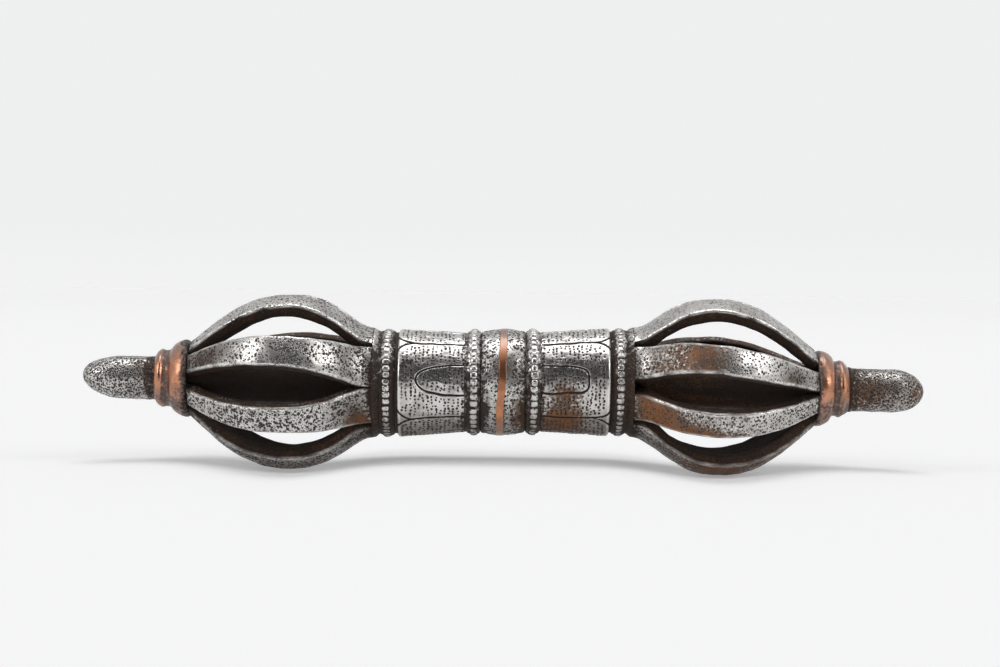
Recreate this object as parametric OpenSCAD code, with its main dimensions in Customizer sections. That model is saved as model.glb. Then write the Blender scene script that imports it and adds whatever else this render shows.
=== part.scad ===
// Nine-pronged dorje vajra: a through rod carries a beaded grip and, at each end, a cage of bowed prongs.
// X runs along the rod, Z is up, and the origin is the middle of the grip. Lengths are in millimetres.

/* [Core rod] */
// Diameter of the rod that runs through the whole object
rod_d = 9.6; // [8:0.1:10.2]
// Amount dressed off the rod's radius on the bare tips
tip_dressing = 0.2; // [0.1:0.05:0.6]
// Length of each bare tip outside its collar
tip_length = 15.8; // [12:0.1:24]
// Length of full-diameter rod that shows outside the collar
rod_land = 0.3; // [0.2:0.1:1]
// Length of the rounded nose at the left end
left_nose_length = 9; // [4:0.1:11]
// Length of the rounded nose at the right end
right_nose_length = 6.6; // [4:0.1:11]

/* [Grip] */
// Greatest diameter of the grip, at the barrel's crest and at the outer ends of the lotus sleeves
grip_d = 23; // [20:0.1:26]

/* [Barrel] */
// Length of the bulged barrel in the middle of the grip
barrel_length = 9.6; // [7:0.1:14]
// Drop from the barrel's crest to its ends
barrel_drop = 0.85; // [0.4:0.05:1.5]
// Width of the copper band
band_width = 1.7; // [0.8:0.1:3]
// Depth of the groove that holds the copper band
band_depth = 0.9; // [0.5:0.1:2]

/* [Inner bead rings] */
// Length of each ring between the barrel and a lotus sleeve
inner_ring_length = 3.3; // [2.4:0.1:5]
// Drop from the grip's greatest radius to the ring beside its beads
inner_ring_drop = 1.1; // [0.7:0.05:1.6]
// Diameter of one bead
inner_bead_d = 1.4; // [1:0.05:2]
// Number of beads round the ring
inner_bead_count = 44; // [30:1:60]
// Distance of the bead row from the barrel
inner_bead_offset = 1.5; // [1.2:0.1:2]

/* [Lotus sleeves] */
// Length of each sleeve
sleeve_length = 14.6; // [11:0.1:20]
// Drop from the sleeve's outer end to its end next to the barrel
sleeve_drop = 1; // [0.5:0.05:1.6]
// Radius of the rounded edge next to the cage
sleeve_edge = 1.1; // [0.5:0.1:1.6]
// Number of petals round the sleeve
petal_count = 4; // [4:1:8]
// Width of an engraved line
line_width = 0.6; // [0.3:0.05:1]
// Depth of an engraved line
line_depth = 0.35; // [0.15:0.05:0.6]
// Radius of the corner at a petal's tip
petal_corner = 4.2; // [1.5:0.1:4.3]
// Distance by which a petal's outline runs past the sleeve's outer end
petal_overhang = 0.6; // [0:0.1:1]
// Length of the inner petal
inner_petal_length = 10.9; // [6:0.1:12]
// Width of the inner petal across its foot
inner_petal_width = 7.2; // [4:0.1:8]

/* [Root hoops] */
// Length of each hoop between a lotus sleeve and the open cage
hoop_length = 5.4; // [4:0.1:8]
// Drop from the grip's greatest radius to the hoop beside its beads
hoop_drop = 0.75; // [0.5:0.05:1.2]
// Wall of the hoop round the prong roots
hoop_wall = 1.2; // [0.8:0.1:2]
// Diameter of one bead
hoop_bead_d = 1.3; // [1:0.05:2]
// Number of beads round the hoop
hoop_bead_count = 50; // [30:1:60]
// Distance of the bead row from the lotus sleeve
hoop_bead_offset = 1.8; // [1.4:0.1:2.4]

/* [Prongs] */
// Number of prongs in a cage
prong_count = 8; // [6:1:10]
// Length of the open cage from hoop to collar
cage_length = 38.5; // [34:0.1:50]
// Diameter of the cage at its widest
cage_d = 38.9; // [32:0.1:46]
// Distance of the widest place from the hoop
cage_peak = 17.4; // [15:0.1:22]
// Drop from the grip's greatest radius to the prong roots
root_drop = 0.05; // [0:0.05:0.4]
// Diameter over the prongs where they meet the collar
throat_d = 16.2; // [15:0.1:18]
// Slope of the prongs at the collar, in degrees
throat_angle = 41; // [35:1:46]
// Thickness of a prong at its widest place
prong_thickness = 2.5; // [1.8:0.1:3.4]
// Width of a prong at its widest place
prong_width = 6.1; // [4.5:0.1:7.5]
// Width of a prong at the collar
prong_tip_width = 3.9; // [3:0.1:5]
// Length over which neighbouring prongs stay joined beyond the hoop
slot_start = 0.8; // [0.4:0.1:2]
// Depth of the solid root block beyond the hoop, on the rod
root_web = 1.6; // [1:0.1:3]
// Reach of the outer face's flare beyond the hoop
root_flare = 3.1; // [2:0.1:4.5]
// Height of the inner face's steep start above the rod
root_rise = 5.2; // [4:0.1:6]
// Reach of the round belly towards the root
shoulder_reach = 10.3; // [8:0.1:12]
// Reach of the round belly towards the collar
belly_reach = 9.5; // [7:0.1:11]
// Reach of the straight run at the collar
throat_reach = 8; // [6:0.1:9]
// Length over which a prong starts to narrow beyond its root
root_ease = 4; // [2:0.1:6]

/* [Tip collars] */
// Length of each copper collar
collar_length = 7.6; // [6.8:0.1:10]
// Diameter over the large roll
large_roll_d = 16.5; // [15.6:0.1:18]
// Thickness of the large roll along the rod
large_roll_width = 4.6; // [3.8:0.1:5]
// Distance of the large roll's crest from the collar's rim
large_roll_crest = 1.3; // [1.1:0.1:2]
// Diameter over the small roll
small_roll_d = 12.5; // [11.5:0.1:14]
// Thickness of the small roll along the rod
small_roll_width = 3.3; // [2.4:0.1:3.4]
// Diameter of the waist between the rolls
waist_d = 11.8; // [11:0.1:12.2]
// Length of a prong's tenon inside the collar
tenon_length = 3; // [1.5:0.1:3.2]
// Diameter over the ring of tenons
tenon_d = 13; // [11:0.1:13.4]

/* [Fits] */
// Radial gap of the sliding fits
fit_gap = 0.05; // [0.02:0.01:0.15]
// Depth to which each bead is sunk in its ring
bead_seat = 0.5; // [0.3:0.05:0.8]

/* [Hidden] */
$fn = 96;
bead_fn = 24;
curve_steps = 9;
arc_steps = 8;
iron = "#7d7a74";
dark_iron = "#5c554d";
copper = "#b8734d";

// Length of material that a cutting tool runs past the face it opens
overrun = 1;

rod_r = rod_d / 2;
tip_r = rod_r - tip_dressing;
bore_r = rod_r + fit_gap;
pitch = 360 / prong_count;

// Stations along the rod, from the middle outwards
barrel_end = barrel_length / 2;
ring_end = barrel_end + inner_ring_length;
sleeve_end = ring_end + sleeve_length;
hoop_end = sleeve_end + hoop_length;
cage_end = hoop_end + cage_length;
collar_end = cage_end + collar_length;
land_end = collar_end + rod_land;
rod_end = collar_end + tip_length;
peak_at = hoop_end + cage_peak;

grip_r = grip_d / 2;
inner_ring_r = grip_r - inner_ring_drop;
sleeve_small_r = grip_r - sleeve_drop;
hoop_r = grip_r - hoop_drop;
root_r = grip_r - root_drop;
cage_r = cage_d / 2;
root_neck_r = hoop_r - hoop_wall;
band_floor_r = grip_r - band_depth;

side_names = ["left", "right"];
function prong_name(side, i) = str(side, "_prong_", i);

// Point at parameter t on the cubic curve with the four control points p
function cubic(p, t) =
    pow(1 - t, 3) * p[0] + 3 * t * pow(1 - t, 2) * p[1] + 3 * t * t * (1 - t) * p[2] + pow(t, 3) * p[3];

// Points along the cubic curve, without its first one
function cubic_points(p) = [for (i = [1 : curve_steps]) cubic(p, i / curve_steps)];

// Points of an arc, from one angle to another
function arc_points(centre, r, from, to) =
    [for (i = [0 : arc_steps]) let (a = from + (to - from) * i / arc_steps) centre + r * [cos(a), sin(a)]];

function reversed(list) = [for (i = [len(list) - 1 : -1 : 0]) list[i]];

// Solid of revolution about the rod, from points given as [station, radius]
module turned(points) {
    rotate([0, 90, 0])
        rotate_extrude()
            polygon([for (p = points) [p[1], p[0]]]);
}

// Wedge of such a solid, one prong pitch wide and centred on the upward direction
module turned_wedge(points) {
    rotate([0, 90, 0])
        rotate([0, 0, 180 - pitch / 2])
            rotate_extrude(angle = pitch)
                polygon([for (p = points) [p[1], p[0]]]);
}

// The right-hand piece as it is modelled, or its mirror image on the left
module on_side(side) {
    mirror([side == "left" ? 1 : 0, 0, 0])
        children();
}

// One half of the rod's outline: a land, the dressed shank and a half ellipse to the point on the axis
function rod_half(nose_length) =
    concat(
        [[land_end, rod_r], [land_end, tip_r]],
        [for (i = [0 : curve_steps])
            let (a = 90 * i / curve_steps)
            [rod_end - nose_length * (1 - sin(a)), i == curve_steps ? 0 : tip_r * cos(a)]]
    );

module core_rod() {
    left_half = [for (p = rod_half(left_nose_length)) [-p[0], p[1]]];
    color(dark_iron)
        turned(concat(reversed(left_half), rod_half(right_nose_length)));
}

// Circular bulge of the barrel between its two ends
function barrel_points() =
    let (bulge_r = (pow(barrel_end, 2) + pow(barrel_drop, 2)) / (2 * barrel_drop),
         half_angle = asin(barrel_end / bulge_r))
    arc_points([0, grip_r - bulge_r], bulge_r, 90 + half_angle, 90 - half_angle);

module barrel() {
    color(iron)
        difference() {
            turned(concat([[-barrel_end, bore_r]], barrel_points(), [[barrel_end, bore_r]]));
            turned(band_section(0));
        }
}

// Section of the copper band, or of its groove, which is wider and deeper by the gap
function band_section(shrink) =
    let (half = band_width / 2 + fit_gap - shrink, top = grip_r + (shrink > 0 ? 0 : overrun))
    [[-half, band_floor_r + shrink], [half, band_floor_r + shrink], [half, top], [-half, top]];

module copper_band() {
    color(copper)
        turned(band_section(fit_gap));
}

// Row of equal beads sunk in a ring of the given radius
module bead_row(station, ring_r, bead_d, count) {
    for (i = [0 : count - 1])
        rotate([i * 360 / count, 0, 0])
            translate([station, 0, ring_r + bead_d / 2 - bead_seat])
                sphere(d = bead_d, $fn = bead_fn);
}

// Plain ring between two stations
module plain_ring(from, to, inner_r, outer_r) {
    turned([[from, inner_r], [to, inner_r], [to, outer_r], [from, outer_r]]);
}

module inner_bead_ring() {
    color(iron) {
        plain_ring(barrel_end, ring_end, bore_r, inner_ring_r);
        bead_row(barrel_end + inner_bead_offset, inner_ring_r, inner_bead_d, inner_bead_count);
    }
}

// Tapered sleeve with a rounded outer edge, drawn in all over by the given depth
module sleeve_blank(depth) {
    edge_centre = [sleeve_end - sleeve_edge, grip_r - sleeve_edge];
    turned(concat(
        [[ring_end, bore_r], [ring_end, sleeve_small_r - depth]],
        arc_points(edge_centre - [0, depth], sleeve_edge, 90, 0),
        [[sleeve_end, bore_r]]
    ));
}

// One side of a petal: a straight line that turns in towards the tip with a round corner
function petal_side(inset) =
    let (foot = sleeve_small_r * sin(180 / petal_count) - inset,
         shoulder = grip_r * sin(180 / petal_count) - inset,
         corner = petal_corner - inset)
    concat(
        [[ring_end - overrun, foot]],
        arc_points([sleeve_end + petal_overhang - petal_corner, shoulder - corner], corner, 90, 0)
    );

// Half ellipse of the inner petal
function inner_petal(inset) =
    [for (i = [0 : 2 * arc_steps])
        let (a = -90 + 90 * i / arc_steps)
        [ring_end + (inner_petal_length - inset) * cos(a), (inner_petal_width / 2 - inset) * sin(a)]];

// Tools that engrave one petal, seen square on from above the sleeve
module petal_tools() {
    half_line = line_width / 2;
    linear_extrude(height = grip_d) {
        for (flip = [0, 1])
            mirror([0, flip, 0])
                polygon(concat(petal_side(-half_line), reversed(petal_side(half_line))));
        polygon(concat(inner_petal(-half_line), reversed(inner_petal(half_line))));
    }
}

module lotus_sleeve() {
    color(iron)
        difference() {
            sleeve_blank(0);
            difference() {
                for (i = [0 : petal_count - 1])
                    rotate([i * 360 / petal_count, 0, 0])
                        petal_tools();
                sleeve_blank(line_depth);
            }
        }
}

module root_hoop() {
    color(dark_iron) {
        plain_ring(sleeve_end, hoop_end, root_neck_r + fit_gap, hoop_r);
        bead_row(sleeve_end + hoop_bead_offset, hoop_r, hoop_bead_d, hoop_bead_count);
    }
}

// Outer face of a prong: a flare out of the root, a round belly and a straight run to the collar
function prong_outside() =
    concat(
        [[hoop_end, root_r]],
        cubic_points([[hoop_end, root_r], [hoop_end + root_flare, root_r],
                      [peak_at - shoulder_reach, cage_r], [peak_at, cage_r]]),
        cubic_points([[peak_at, cage_r], [peak_at + belly_reach, cage_r],
                      [cage_end, throat_d / 2] + throat_reach * [-cos(throat_angle), sin(throat_angle)],
                      [cage_end, throat_d / 2]])
    );

// Inner face of a prong, from the rod at the collar back to the rod at the root block
function prong_inside() =
    let (belly_r = cage_r - prong_thickness, foot = [hoop_end + root_web, bore_r])
    concat(
        [[cage_end, bore_r]],
        cubic_points([[cage_end, bore_r],
                      [cage_end, bore_r] + throat_reach * [-cos(throat_angle), sin(throat_angle)],
                      [peak_at + belly_reach - prong_thickness / 2, belly_r], [peak_at, belly_r]]),
        cubic_points([[peak_at, belly_r], [peak_at - shoulder_reach + prong_thickness / 2, belly_r],
                      foot + [0, root_rise], foot])
    );

// Section of a prong through the rod's axis, with its root stave and its tenon
function prong_section() =
    concat(
        [[sleeve_end, bore_r], [sleeve_end, root_neck_r], [hoop_end, root_neck_r]],
        prong_outside(),
        [[cage_end, tenon_d / 2], [cage_end + tenon_length, tenon_d / 2], [cage_end + tenon_length, bore_r]],
        prong_inside()
    );

// Half of a prong's outline seen square on: wide at the root, waisted at the belly, narrow at the collar
function prong_half_outline() =
    let (slot_at = hoop_end + slot_start,
         root_half = root_r * sin(pitch / 2),
         belly_half = prong_width / 2,
         tip_half = prong_tip_width / 2)
    concat(
        [[sleeve_end - overrun, root_half], [slot_at, root_half]],
        cubic_points([[slot_at, root_half], [slot_at + root_ease, root_half - (root_half - belly_half) / 4],
                      [peak_at - shoulder_reach / 2, belly_half], [peak_at, belly_half]]),
        cubic_points([[peak_at, belly_half], [peak_at + belly_reach, belly_half],
                      [cage_end - throat_reach, (tip_half + belly_half) / 2], [cage_end, tip_half]]),
        [[cage_end + tenon_length + overrun, tip_half]]
    );

module prong() {
    half = prong_half_outline();
    intersection() {
        turned_wedge(prong_section());
        linear_extrude(height = cage_d)
            polygon(concat(half, reversed([for (p = half) [p[0], -p[1]]])));
    }
}

// Prong number i of a cage, counted from the top towards the front
module placed_prong(i) {
    color(iron)
        rotate([(i - 0.5) * pitch, 0, 0])
            prong();
}

// Half-round roll about the rod, flush with a given crest diameter
module roll(station, crest_d, width) {
    translate([station, 0, 0])
        rotate([0, 90, 0])
            rotate_extrude()
                translate([crest_d / 2 - width / 2, 0])
                    circle(d = width);
}

module tip_collar() {
    large_at = cage_end + large_roll_crest;
    small_at = collar_end - small_roll_width / 2;
    color(copper)
        difference() {
            union() {
                plain_ring(cage_end, small_at, rod_r, waist_d / 2);
                roll(large_at, large_roll_d, large_roll_width);
                roll(small_at, small_roll_d, small_roll_width);
            }
            plain_ring(cage_end - large_roll_width, cage_end, 0, large_roll_d);
            plain_ring(cage_end - overrun, cage_end + tenon_length, 0, tenon_d / 2 + fit_gap);
            plain_ring(cage_end - overrun, collar_end + overrun, 0, rod_r);
        }
}

core_rod();
barrel();
copper_band();
for (side = side_names) {
    on_side(side) inner_bead_ring();
    on_side(side) lotus_sleeve();
    on_side(side) root_hoop();
    for (i = [1 : prong_count])
        on_side(side) placed_prong(i);
    on_side(side) tip_collar();
}
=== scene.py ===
"""Dresses the frame of a nine-pronged iron vajra in hand-worked, pitted, rusted and rubbed metal."""

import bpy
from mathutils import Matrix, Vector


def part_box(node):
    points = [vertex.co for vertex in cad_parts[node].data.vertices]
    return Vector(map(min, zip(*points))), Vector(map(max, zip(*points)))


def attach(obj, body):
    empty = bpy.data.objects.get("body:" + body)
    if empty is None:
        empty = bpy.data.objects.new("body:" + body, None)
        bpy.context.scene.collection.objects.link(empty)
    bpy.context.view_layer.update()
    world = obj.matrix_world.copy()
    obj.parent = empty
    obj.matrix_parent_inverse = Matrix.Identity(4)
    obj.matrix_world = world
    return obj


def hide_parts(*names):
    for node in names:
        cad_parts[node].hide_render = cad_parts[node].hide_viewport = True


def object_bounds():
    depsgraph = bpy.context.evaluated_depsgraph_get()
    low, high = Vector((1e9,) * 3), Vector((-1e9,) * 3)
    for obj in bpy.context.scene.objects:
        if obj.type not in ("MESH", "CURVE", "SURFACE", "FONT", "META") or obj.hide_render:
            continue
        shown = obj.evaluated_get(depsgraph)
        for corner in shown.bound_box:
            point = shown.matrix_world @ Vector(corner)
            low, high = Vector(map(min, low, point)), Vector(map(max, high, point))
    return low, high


bl_info = {
    "name": "Dorje Vajra",
    "version": (1, 0, 0),
    "blender": (4, 5, 0),
    "location": "View3D > Sidebar > Vajra",
    "description": "Builds a pitted iron vajra with copper bands round its packed frame",
    "category": "Add Mesh",
}

import math
from typing import NamedTuple

import bpy
import numpy as np
from bpy.props import FloatProperty, FloatVectorProperty, IntProperty, PointerProperty
from bpy.types import Operator, Panel, PropertyGroup
from mathutils import Matrix, Vector

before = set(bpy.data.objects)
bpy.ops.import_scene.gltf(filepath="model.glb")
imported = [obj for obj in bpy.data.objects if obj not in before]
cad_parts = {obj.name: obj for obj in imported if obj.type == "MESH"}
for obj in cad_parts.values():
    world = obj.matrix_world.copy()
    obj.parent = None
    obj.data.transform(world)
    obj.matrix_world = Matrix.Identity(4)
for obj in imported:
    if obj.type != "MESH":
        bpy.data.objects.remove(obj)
CAD_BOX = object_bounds()

MM = 0.001
TURN = 2 * math.pi
SIDES = (("left", -1.0), ("right", 1.0))
PRONGS = range(1, 9)
PRONG_PITCH = TURN / len(PRONGS)

# Stations along the rod and radii about it, read from the frame's right half
BARREL_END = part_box("barrel")[1].x
RING_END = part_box("right_inner_bead_ring")[1].x
SLEEVE_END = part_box("right_lotus_sleeve")[1].x
HOOP_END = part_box("right_root_hoop")[1].x
CAGE_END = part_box("right_tip_collar")[0].x
TENON_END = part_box("right_prong_1")[1].x
COLLAR_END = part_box("right_tip_collar")[1].x
ROD_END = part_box("core_rod")[1].x
GRIP_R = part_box("copper_band")[1].z
ROD_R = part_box("core_rod")[1].z
FLOOR_Z = CAD_BOX[0].z

# The hoops' necks were filed short, the grip's bores clear the rod, and bends are eased over a reach
NECK_END = HOOP_END - 0.6 * MM
BORE_R = ROD_R + 0.05 * MM
BEND_EASE = 8.0 * MM

# Marks that each piece carries at its vertices for its material: 0 is none, 1 is full, the limit is thick
# The grime mark is crust, and also painted shade below, inside the cages and at joints
# The tarnish mark is a film, and also painted shade below and painted reflections on copper
MARKS = ("grime_and_shade", "rust", "wear", "pits", "tarnish_and_painted_light")
MARK_LIMIT = 1.5

# Brown stains: place along the rod in mm, degrees from the top towards the front, reach in mm, spread in
# degrees, strength
RUST_STAINS = (
    (62, 90, 45, 200, 0.13), (-77.8, 52, 1.5, 20, 0.66), (-75.5, 90, 1.8, 120, 0.5),
    (76, 90, 3.5, 120, 0.32), (79, 95, 8, 60, 0.46), (89.5, 90, 3.5, 80, 0.62), (-30.5, 128, 3.5, 14, 1.15),
    (41, 72, 6.5, 30, 0.92), (31.5, 68, 5, 26, 0.36), (31.5, 112, 4.5, 24, 1.4), (39, 121, 6, 10, 0.85),
    (47, 122, 5, 6, 0.6), (45, 152, 10, 24, 1.05), (60, 150, 6, 25, 0.6), (50, 20, 6, 20, 0.3),
    (33, 25, 5, 20, 0.3), (12.5, 122, 5, 26, 0.68), (15, 85, 9, 30, 0.20), (-15, 170, 12, 40, 0.28),
    (2, 95, 3.5, 80, 0.18), (12, 150, 7, 28, 0.8), (13, 98, 3, 10, 0.45), (3.4, 125, 1.6, 30, 0.7),
    (-34, 205, 9, 40, 0.6), (-52, 285, 9, 40, 0.55), (40, 250, 9, 45, 0.6), (58, 300, 8, 40, 0.5),
    (-14, 230, 6, 45, 0.6), (16, 265, 6, 45, 0.55),
)

# Smooth tarnish and dark crust, and the clean spot beside the copper band, in the same terms
TARNISH = (
    (60.5, 80, 3.8, 12, 0.95), (-62.5, 68, 6.5, 18, 0.95), (-33, 70, 4.5, 18, 0.50),
    (-31.5, 114, 4.5, 18, 0.85), (-45, 160, 14, 10, 0.30), (15, 70, 9, 25, 0.22), (79, 80, 8, 60, 0.50),
    (82, 180, 12, 90, 0.30), (-76, 85, 5, 60, 0.40), (52, 240, 7, 18, 0.6), (-40, 300, 7, 18, 0.6),
)
DARK_PATCHES = (
    (-3.4, 118, 1.0, 17, 0.80), (4.1, 118, 0.8, 16, 0.60), (-20.5, 66, 0.9, 5, 0.75),
    (-19.2, 63, 0.7, 4, 0.6), (47, 112, 1.6, 4, 0.55), (50.5, 108, 1.2, 4, 0.45),
)
CLEAN_SPOTS = ((1.15, 72, 0.75, 22, 1.0),)

# Each prong as it was forged: its width at its belly and at its root in mm, how thickly its outer face is
# pitted, and its twist towards the front at the root, the belly, half way to the tip and the tip, in degrees
PRONG_WORK = {
    "left": (
        (6.1, 8.0, 0.88, (0, -1, 3.5, 3)), (6.6, 8.8, 0.93, (2.6, 0.4, -1.4, -4)),
        (5.8, 8.2, 1.08, (1.15, 0.4, 2.8, 6.2)), (6.1, 8.0, 1.06, (3, -2.5, 0, 2)),
        (6.1, 8.4, 1.04, (2, -2, 1, 2)), (6.2, 8.4, 0.98, (2, -1, 0, 0)),
        (6.0, 8.4, 1.02, (1, 1, -1, -3)), (6.1, 8.4, 0.92, (1, 1, -2, -5)),
    ),
    "right": (
        (6.1, 8.0, 0.70, (-2, 1, 5, 10)), (6.4, 7.3, 0.87, (-2, 3.3, 6.7, 9.8)),
        (5.6, 6.2, 1.06, (2.4, 0.3, 1.0, 1.8)), (6.1, 8.2, 1.02, (-1, -0.8, 3, 8)),
        (6.2, 8.4, 1.02, (-3, 1, 3, 6)), (6.0, 8.4, 1.04, (-3, -1, 3, 6)),
        (6.1, 8.4, 1.00, (-3, 1.3, -0.5, -3)), (6.0, 8.4, 0.94, (-3, 0, 3, 8)),
    ),
}

# Where the slots between a cage's prongs start, from the hoop's end in mm
SLOT_STARTS = {"left": 1.4, "right": -0.4}

# Rise of the whole object's centre line above the true axis, as it was forged: place and rise in mm
CROOK = (
    (-90, 1.0), (-83, 0.42), (-70, 0.42), (-57, 0.25), (-45.5, 0.05), (-36, 0.0), (-22.5, -0.05),
    (-8.5, 0.27), (0, 0.44), (8.5, 0.57), (22.5, 0.7), (30, 0.75), (38, 0.35), (45.5, 0.1), (64, 0.0),
    (70, -0.15), (80, -0.45), (90, -0.55),
)

# Distance of the beads from the start of an inner ring and of a root hoop, and sway of the ring's row, in mm
BEAD_PLACES = {"left": (1.35, 1.85, 0.0), "right": (1.45, 1.95, 0.35)}

# Step that a sleeve leaves before the hoop, length and width of its inner petal, in mm, and the power of
# that petal's curve
SLEEVES = {"left": (0.5, 10.3, 7.0, 2.3), "right": (0.15, 9.8, 6.3, 3.8)}


class CollarForm(NamedTuple):
    """How one collar was rolled and how it has darkened. Its lengths are in mm."""

    groove: tuple  # stations where its dark groove starts and ends
    rim_end: float  # station where its dark cage-side rim ends
    dirt_and_lower_shade: float  # grime and painted shade on its lower half
    black_reach: float  # least reach of the black on its cage-side rim
    black_depth: float  # how thickly that rim is pitted black
    outline: tuple  # station and radius from the rim over the large roll and the groove to the small roll


COLLARS = {
    "left": CollarForm(
        (70.8, 72.4), 68.7, 0.30, 0.75, 1.1,
        ((66.6, 7.2), (66.75, 7.85), (67.2, 8.22), (67.8, 8.3), (68.6, 8.1), (69.3, 7.8), (69.9, 7.4),
         (70.4, 6.95), (70.75, 6.45), (71.2, 6.05), (72.2, 5.95), (72.45, 6.2), (72.9, 6.25), (73.6, 5.8),
         (74.1, 5.2), (74.2, 4.84)),
    ),
    "right": CollarForm(
        (70.1, 71.6), 68.0, 0.42, 0.2, 0.5,
        ((66.6, 7.5), (66.7, 7.95), (67.2, 8.15), (68.2, 8.05), (69.0, 7.72), (69.8, 7.15), (70.15, 6.6),
         (70.3, 6.15), (70.6, 5.95), (71.4, 5.95), (71.55, 6.15), (72.0, 6.2), (72.5, 5.98), (73.1, 5.45),
         (73.5, 5.0), (73.55, 4.84)),
    ),
}

# Each iron: its crust's colour, its sheen, the strength of its relief, and its pits and clouds per metre
IRONS = {
    "forged_iron": ("soot_and_shade", 0.18, 0.7, 1650.0, 190.0),  # prongs, with pits about half a millimetre wide
    "rod_iron": ("soot_and_shade", 0.18, 0.6, 2150.0, 190.0),  # rod, with smaller pits
    "barrel_iron": ("crust", 0.22, 0.6, 1560.0, 260.0),  # barrel, with coarse pits
    "chased_iron": ("crust", 0.22, 0.45, 1900.0, 260.0),  # sleeves and bead rings, with finer pits
}
COPPER = "old_copper"


def length(name, description, millimetres):
    """A length that the user can set, given here in millimetres and kept in metres."""
    return FloatProperty(
        name=name, description=description, default=millimetres * MM, unit="LENGTH", precision=5
    )


def angle(name, description, degrees):
    """An angle that the user can set, given here in degrees and kept in radians."""
    return FloatProperty(name=name, description=description, default=math.radians(degrees), subtype="ANGLE")


def amount(name, description, default):
    """A plain number that the user can set."""
    return FloatProperty(name=name, description=description, default=default)


def count(name, description, default):
    """A whole number that the user can set."""
    return IntProperty(name=name, description=description, default=default, min=3)


def colour(name, description, *rgb):
    """A linear colour that the user can set."""
    return FloatVectorProperty(
        name=name, description=description, default=(*rgb, 1.0), size=4, min=0.0, max=1.0, subtype="COLOR"
    )


class VajraShape(PropertyGroup):
    """Sizes of the dressed pieces that the frame's boxes don't give."""

    hand_work: length("Hand work", "How far a hand-worked surface strays from true", 0.06)
    tip_radius: length("Tip radius", "Radius of the rod's bare tips", 4.6)
    left_nose: length("Left nose", "Length of the rounded nose at the left end", 9.0)
    right_nose: length("Right nose", "Length of the rounded nose at the right end", 6.6)
    barrel_radius: length("Barrel radius", "Radius of the barrel at its crest", 11.42)
    barrel_drop: length("Barrel drop", "Drop from the barrel's crest to its ends", 0.72)
    band_width: length("Band width", "Width of the copper band", 1.65)
    band_lean: angle("Band lean", "Lean of the copper band towards the right at the top", 2.1)
    band_shift: length("Band shift", "Shift of the copper band along the rod", -0.25)
    inner_ring_radius: length("Inner ring radius", "Radius of an inner ring beside its beads", 10.55)
    inner_bead_crest: length("Inner bead crest", "Radius over the beads of an inner ring", 11.43)
    inner_beads: count("Inner beads", "Beads round each inner ring", 45)
    hoop_radius: length("Hoop radius", "Radius of a root hoop beside its beads", 10.82)
    hoop_bead_crest: length("Hoop bead crest", "Radius over the beads of a root hoop", 11.57)
    hoop_beads: count("Hoop beads", "Beads round each root hoop", 50)
    hoop_bore: length("Hoop bore", "Radius of a root hoop's bore", 9.6)
    sleeve_radius: length("Sleeve radius", "Radius of a sleeve at its outer end", 11.54)
    sleeve_drop: length("Sleeve drop", "Drop from a sleeve's outer end to its inner end", 0.9)
    petals: count("Petals", "Lotus petals round each sleeve", 4)
    petal_turn: angle("Petal turn", "Turn of the petals from the front towards the top", 5.0)
    petal_corner: length("Petal corner", "Radius of the corner at a petal's tip", 4.3)
    petal_overhang: length("Petal overhang", "How far a petal's tip would reach past the sleeve's end", 0.6)
    line_width: length("Line width", "Width of an engraved line", 0.5)
    line_depth: length("Line depth", "Depth of an engraved line", 0.30)
    left_cage_radius: length("Left cage radius", "Radius of the left cage at its widest", 19.12)
    right_cage_radius: length("Right cage radius", "Radius of the right cage at its widest", 19.30)
    cage_peak: length("Cage peak", "Distance of the widest place from the hoop", 17.4)
    root_radius: length("Root radius", "Radius over the prong roots", 11.76)
    throat_radius: length("Throat radius", "Radius over the prongs at the collar", 8.1)
    throat_angle: angle("Throat angle", "Slope of the prongs at the collar", 41.0)
    prong_thickness: length("Prong thickness", "Thickness of a prong at the belly", 2.66)
    prong_tip_width: length("Prong tip width", "Width of a prong at the collar", 4.1)
    prong_edge: length("Prong edge", "Radius of a prong's rubbed outer edges", 0.38)


class VajraFinish(PropertyGroup):
    """Colours of the metals, of what has grown or lies on them, and of painted shade and reflections."""

    bright_iron: colour("Bright iron", "Iron rubbed bright by hands", 0.70, 0.685, 0.665)
    dull_iron: colour("Dull iron", "Iron that has dulled", 0.47, 0.448, 0.425)
    # Worn iron brightens rubbed edges: partly real wear, partly a painted highlight
    worn_iron: colour("Worn iron", "Iron on the rubbed edges", 0.84, 0.82, 0.79)
    # This colour also paints shade on the undersides
    tarnish_and_painted_light: colour("Tarnish", "Brown film on iron that is seldom rubbed", 0.118, 0.093, 0.080)
    pit: colour("Pit", "Black scale in the pits", 0.032, 0.022, 0.017)
    # Soot also paints the shade inside the cages and under the collars
    soot_and_shade: colour("Soot", "Brown-black crust inside the cages", 0.032, 0.017, 0.0115)
    crust: colour("Crust", "Grey-brown crust in the grooves of the grip", 0.062, 0.049, 0.042)
    dark_rust: colour("Dark rust", "Old brown rust", 0.112, 0.060, 0.034)
    warm_rust: colour("Warm rust", "Younger orange rust", 0.270, 0.096, 0.018)
    bright_copper: colour("Bright copper", "Copper rubbed bright", 0.68, 0.285, 0.15)
    dull_copper: colour("Dull copper", "Copper that has browned", 0.40, 0.172, 0.085)
    # The copper film also paints reflections of the pale surroundings on tops and bottoms
    copper_film_and_reflection: colour("Copper film", "Pinkish film on copper that is seldom rubbed", 0.36, 0.24, 0.195)
    patina: colour("Patina", "Purple-brown patina on the copper", 0.125, 0.093, 0.085)


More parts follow.
